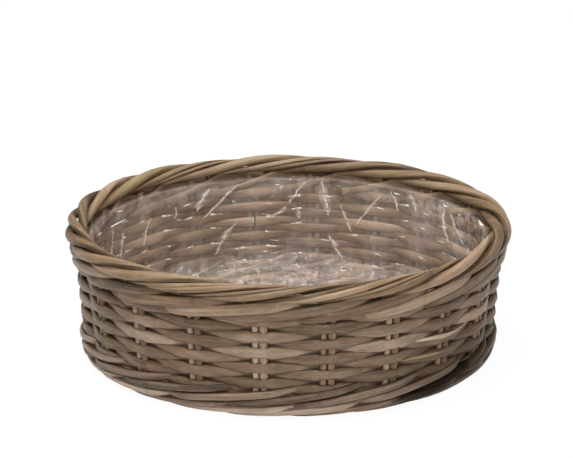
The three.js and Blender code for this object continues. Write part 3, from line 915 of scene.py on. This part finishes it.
def facets(seed, count, height, skew, stretch):
    """A crumpled sheet: flat facets with sharp edges, whose heights repeat round the basket"""
    draw = random.Random(seed)
    around = FILM_ROUND / stretch
    margin = 0.3 * around
    points = []
    heights = []
    for k in range(count):
        x = draw.uniform(0, around)
        y = draw.uniform(-20, FILM_DEEP + 20)
        top = draw.random() ** skew * height
        for turn in (-1, 0, 1):
            if -margin < x + turn * around < around + margin:
                points.append(Vector((x + turn * around, y)))
                heights.append(top)
    made = geometry.delaunay_2d_cdt(points, [], [], 0, 1e-7)
    corners, triangles, origins = made[0], made[2], made[3]
    tops = [heights[origin[0]] if origin else 0.0 for origin in origins]

    # Each grid point takes its height from the three corners of the facet it lies in
    grid = np.zeros((AROUND, DOWN + 1))
    ways_round = np.arange(AROUND) * around / AROUND
    for triangle in triangles:
        a, b, c = (corners[k] for k in triangle)
        twice_area = (b.y - c.y) * (a.x - c.x) + (c.x - b.x) * (a.y - c.y)
        if abs(twice_area) < 1e-9:
            continue
        i0, i1 = np.searchsorted(ways_round, (min(a.x, b.x, c.x), max(a.x, b.x, c.x)))
        j0, j1 = np.searchsorted(FILM_STEPS, (min(a.y, b.y, c.y), max(a.y, b.y, c.y)))
        if i1 <= i0 or j1 <= j0:
            continue
        x, y = np.meshgrid(ways_round[i0:i1], FILM_STEPS[j0:j1], indexing="ij")
        of_a = ((b.y - c.y) * (x - c.x) + (c.x - b.x) * (y - c.y)) / twice_area
        of_b = ((c.y - a.y) * (x - c.x) + (a.x - c.x) * (y - c.y)) / twice_area
        of_c = 1 - of_a - of_b
        inside = np.minimum(np.minimum(of_a, of_b), of_c) >= -1e-6
        values = of_a * tops[triangle[0]] + of_b * tops[triangle[1]] + of_c * tops[triangle[2]]
        part = grid[i0:i1, j0:j1]
        part[inside] = values[inside]
    return grid


large = broad_folds()
medium = facets(seed=5, count=420, height=2.4, skew=1.6, stretch=0.7)
small = facets(seed=8, count=5200, height=0.9, skew=1.4, stretch=1.0)

# Facets lie on the broad folds, least of all half way down, and the film's edge and middle are flat
depth = np.clip(FILM_STEPS[None, :], 0, None)
crumple = np.clip(np.abs(depth - CALM_DEPTH) / CALM_REACH - 0.3, 0.04, 1)
push = large + medium * np.clip(crumple + 0.1, 0, 1) + small * crumple
push *= np.clip(depth / FOLDED_BELOW, 0, 1)
push *= np.clip((FILM_DEEP - depth - FLAT_MIDDLE) / FLAT_MARGIN, 0, 1)
places = []
for i in range(AROUND):
    for j in range(DOWN):
        places.append(film_place(FILM_STEPS[j], push[i, j], math.tau * i / AROUND) * MM)
places.append(Vector((0, 0, FILM_FLOOR * MM)))
faces = []
for i in range(AROUND):
    k = (i + 1) % AROUND
    for j in range(DOWN - 1):
        faces.append((i * DOWN + j, i * DOWN + j + 1, k * DOWN + j + 1, k * DOWN + j))
    faces.append((i * DOWN + DOWN - 1, len(places) - 1, k * DOWN + DOWN - 1))
mesh = bpy.data.meshes.new("film_liner")
mesh.from_pydata(places, [], faces)
mesh.shade_smooth()
turns = [i / AROUND * FILM_ROUND * MM for i in range(AROUND)]
values = [x for turn in turns for s in FILM_STEPS[:DOWN] for x in (turn, s * MM, 0.0)]
values += [0.0, FILM_DEEP * MM, 0.0]
mesh.attributes.new("spread", "FLOAT_VECTOR", "POINT").data.foreach_set("vector", values)
mesh.materials.append(film_material())
liner = bpy.data.objects.new("film_liner", mesh)
bpy.context.scene.collection.objects.link(liner)
stand_in_for(liner, "liner_film", "liner")

# Painted highlights on the same film: long thin bright lines along its creases, each with a faint wide
# band along it, and short gleams where the film dips beside the stakes. A line goes from a way round
# in degrees and a way down to another, with its half width.
FILM_PROUD = 0.3
PLEAT_HIGHLIGHTS = (
    (115, 4, 120, 24, 1.0), (106, 2, 118, 32, 0.6), (106.5, 39, 114, 70, 0.7), (84, 1, 89.5, 23, 0.55),
    (91, 26, 95, 35, 0.8), (79.5, 1, 77, 36, 1.1), (73.5, 22, 69.5, 48, 0.45), (77, 52, 72, 76, 0.8),
    (60, 7, 68, 41, 0.5), (128, 15, 128.5, 26, 0.5), (128.5, 26, 126, 29, 0.5), (34.5, 4, 30, 34, 0.8),
    (31, 6, 22.5, 30, 0.6), (57, 3, 54, 21, 0.5), (50, 2, 47, 17, 0.8), (98.5, 32, 94.5, 35, 0.5),
    (88, 26, 87, 39, 0.6), (95, 73, 92.5, 70, 0.5), (97, 58, 93, 60, 0.45), (137, 20, 141, 46, 0.5),
)
MORE_PLEAT_HIGHLIGHTS = 26
HIGHLIGHT_STEPS = 24
NO_GLEAM = 0.35
GLEAM_STEPS = 8
GLEAM_START = 3.0
GLEAM_LENGTH = 3.2


def on_film(degrees, depth):
    """A place on the folded film, a way round it and down from its edge"""
    column = int(round(degrees / 360 * AROUND)) % AROUND
    row = int(np.searchsorted(FILM_STEPS, depth))
    return film_place(depth, push[column, min(row, DOWN)] + FILM_PROUD, math.radians(degrees))


def highlight_material():
    """Painted highlights on the film: bright film, broken up along each strand and shown as much as the value
    stored on the strand says
    """
    film = bpy.data.materials.new("painted_highlight_film")
    film.use_nodes = True
    tree = film.node_tree
    shine = tree.nodes["Principled BSDF"]
    shine.inputs["Base Color"].default_value = (0.97, 0.88, 0.79, 1)
    shine.inputs["Roughness"].default_value = 0.2
    grain = node(tree, "ShaderNodeAttribute", attribute_name="grain").outputs["Vector"]
    length = node(tree, "ShaderNodeSeparateXYZ", {0: grain}).outputs["Z"]
    values = {"W": length, "Scale": 170.0, "Detail": 3.0}
    broken = node(tree, "ShaderNodeTexNoise", values, noise_dimensions="1D").outputs[0]
    most = node(tree, "ShaderNodeAttribute", attribute_name="tone_and_light").outputs["Fac"]
    clear = node(tree, "ShaderNodeBsdfTransparent").outputs[0]
    shade_with(tree, remapped(tree, broken, 0.38, 0.66, 0.08, most), clear, shine.outputs[0])
    return film


draw = random.Random(21)
routes = list(PLEAT_HIGHLIGHTS)
for k in range(MORE_PLEAT_HIGHLIGHTS):
    start = draw.uniform(150, 380)
    top = draw.uniform(8, 50)
    end = start + draw.uniform(-14, 14)
    bottom = top + draw.uniform(20, 62)
    routes.append((start, top, end, bottom, draw.uniform(0.4, 0.9)))
strands = []
for k, (start, top, end, bottom, width) in enumerate(routes):
    bow = draw.uniform(-0.8, 0.8)
    for half_width, shown in ((width * 0.85, 0.92), (width * 5, 0.2)):
        strand = []
        for i in range(HIGHLIGHT_STEPS + 1):
            t = i / HIGHLIGHT_STEPS
            arch = math.sin(math.pi * t)
            kink = 0.7 * noise.noise(Vector((t * 4, k * 1.3, 7)))
            place = on_film(start + (end - start) * t + bow * arch + kink, top + (bottom - top) * t)
            uneven = 0.75 + 0.9 * noise.noise(Vector((t * 6, k * 3.1, half_width)))
            girth = 0.1 + half_width * arch ** 0.5 * uneven
            strand.append((place, girth, Vector((-place.y, place.x, 0)).normalized(), shown))
        strands.append(strand)

# The gleams at a pair are at the heights of the rows that pass outside it
for pair in range(PAIRS):
    for row in range(1 - pair % 2, ROWS, 2):
        for side in (-1, 1):
            if draw.random() < NO_GLEAM:
                continue
            shown = draw.uniform(0.6, 1.0)
            size = draw.uniform(0.8, 1.5)
            depth = FILM_TOP - FIRST_ROW - row * ROW_PITCH + draw.uniform(-1.0, 1.0)
            if depth < 4:
                continue
            strand = []
            for i in range(GLEAM_STEPS + 1):
                t = i / GLEAM_STEPS
                beside = side * (GLEAM_START + GLEAM_LENGTH * size * t)
                place = on_film(math.degrees(FIRST_PAIR + pair * PAIR_ANGLE) + beside, depth + t)
                girth = 0.1 + size * (1 - t) * gentle(t * 6)
                strand.append((place, girth, Vector((0, 0, 1)), shown))
            strands.append(strand)
film_highlights = canes("film_pleats", strands, highlight_material(), flatness=0.3, unevenness=0.0, sides=6)
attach(film_highlights, "root")

# Studio: a white sweep in a white room, both brighter to the camera than as light on the basket, with
# a soft lamp above, one in front and a small one for the glints, and the photograph's camera.
FLOOR_HALF = 6.0
GLOW = 1.02
GLOW_SHARE = 0.23
GLOW_SEEN = 0.7
ROOM_LIGHT = 0.36


def seen_directly(tree):
    """1 for what the camera sees, also through clear film, and 0 for what only gives light"""
    path = node(tree, "ShaderNodeLightPath").outputs
    return maths(tree, "ADD", path["Is Camera Ray"], path["Is Transmission Ray"], clamp=True)


white = bpy.data.materials.new("white_sweep")
white.use_nodes = True
tree = white.node_tree
paper = tree.nodes["Principled BSDF"]
paper.inputs["Base Color"].default_value = (0.9, 0.9, 0.9, 1)
paper.inputs["Roughness"].default_value = 0.9
glow = node(tree, "ShaderNodeEmission", {"Color": (1, 1, 1, 1), "Strength": GLOW}).outputs[0]
share = maths(tree, "MULTIPLY_ADD", seen_directly(tree), GLOW_SEEN, GLOW_SHARE)
shade_with(tree, share, paper.outputs[0], glow)
mesh = bpy.data.meshes.new("floor")
corners = [(x * FLOOR_HALF, y * FLOOR_HALF, 0) for x, y in ((-1, -1), (1, -1), (1, 1), (-1, 1))]
mesh.from_pydata(corners, [], [(0, 1, 2, 3)])
mesh.materials.append(white)
floor = bpy.data.objects.new("floor", mesh)
bpy.context.scene.collection.objects.link(floor)

world = bpy.data.worlds.new("white_room")
world.use_nodes = True
tree = world.node_tree
sky = tree.nodes["Background"]
sky.inputs["Color"].default_value = (1, 1, 1, 1)
strength = remapped(tree, seen_directly(tree), 0.0, 1.0, ROOM_LIGHT)
tree.links.new(strength, sky.inputs["Strength"])
bpy.context.scene.world = world


def aim(made, place, towards):
    """Puts a lamp or the camera at a place, turned towards another"""
    made.location = place
    made.rotation_mode = "QUATERNION"
    made.rotation_quaternion = (Vector(place) - Vector(towards)).to_track_quat("Z", "Y")
    bpy.context.scene.collection.objects.link(made)


BASKET = (0.0, 0.0, 0.06)
for name, power, across, place in (
    ("front_key", 25.0, 0.4, (0.05, -2.0, 1.7)),
    ("overhead", 52.0, 1.4, (-0.35, -0.1, 2.1)),
    ("glint", 6.0, 0.07, (0.25, -2.3, 0.62)),
):
    light = bpy.data.lights.new(name, "AREA")
    light.energy = power
    light.shape = "DISK"
    light.size = across
    aim(bpy.data.objects.new(name, light), place, BASKET)

DISTANCE = 2.895
ELEVATION = math.radians(18.85)
FRAME_WIDTH = 573
FOCAL_PIXELS = 3180
PIXELS_BELOW = 53.2
PIXELS_RIGHT = 1.7
eye = bpy.data.objects.new("camera", bpy.data.cameras.new("camera"))
eye.data.lens = FOCAL_PIXELS * eye.data.sensor_width / FRAME_WIDTH
middle = (Vector(cad_box[0]) + Vector(cad_box[1])) / 2
aside = Vector((-DISTANCE * PIXELS_RIGHT / FOCAL_PIXELS, 0, 0))
above = Vector((0, 0, DISTANCE * PIXELS_BELOW / FOCAL_PIXELS / math.cos(ELEVATION)))
back = Vector((0, -math.cos(ELEVATION), math.sin(ELEVATION)))
aim(eye, middle + aside + back * DISTANCE, middle + aside + above)
bpy.context.scene.camera = eye

bpy.context.scene.view_settings.view_transform = "Standard"
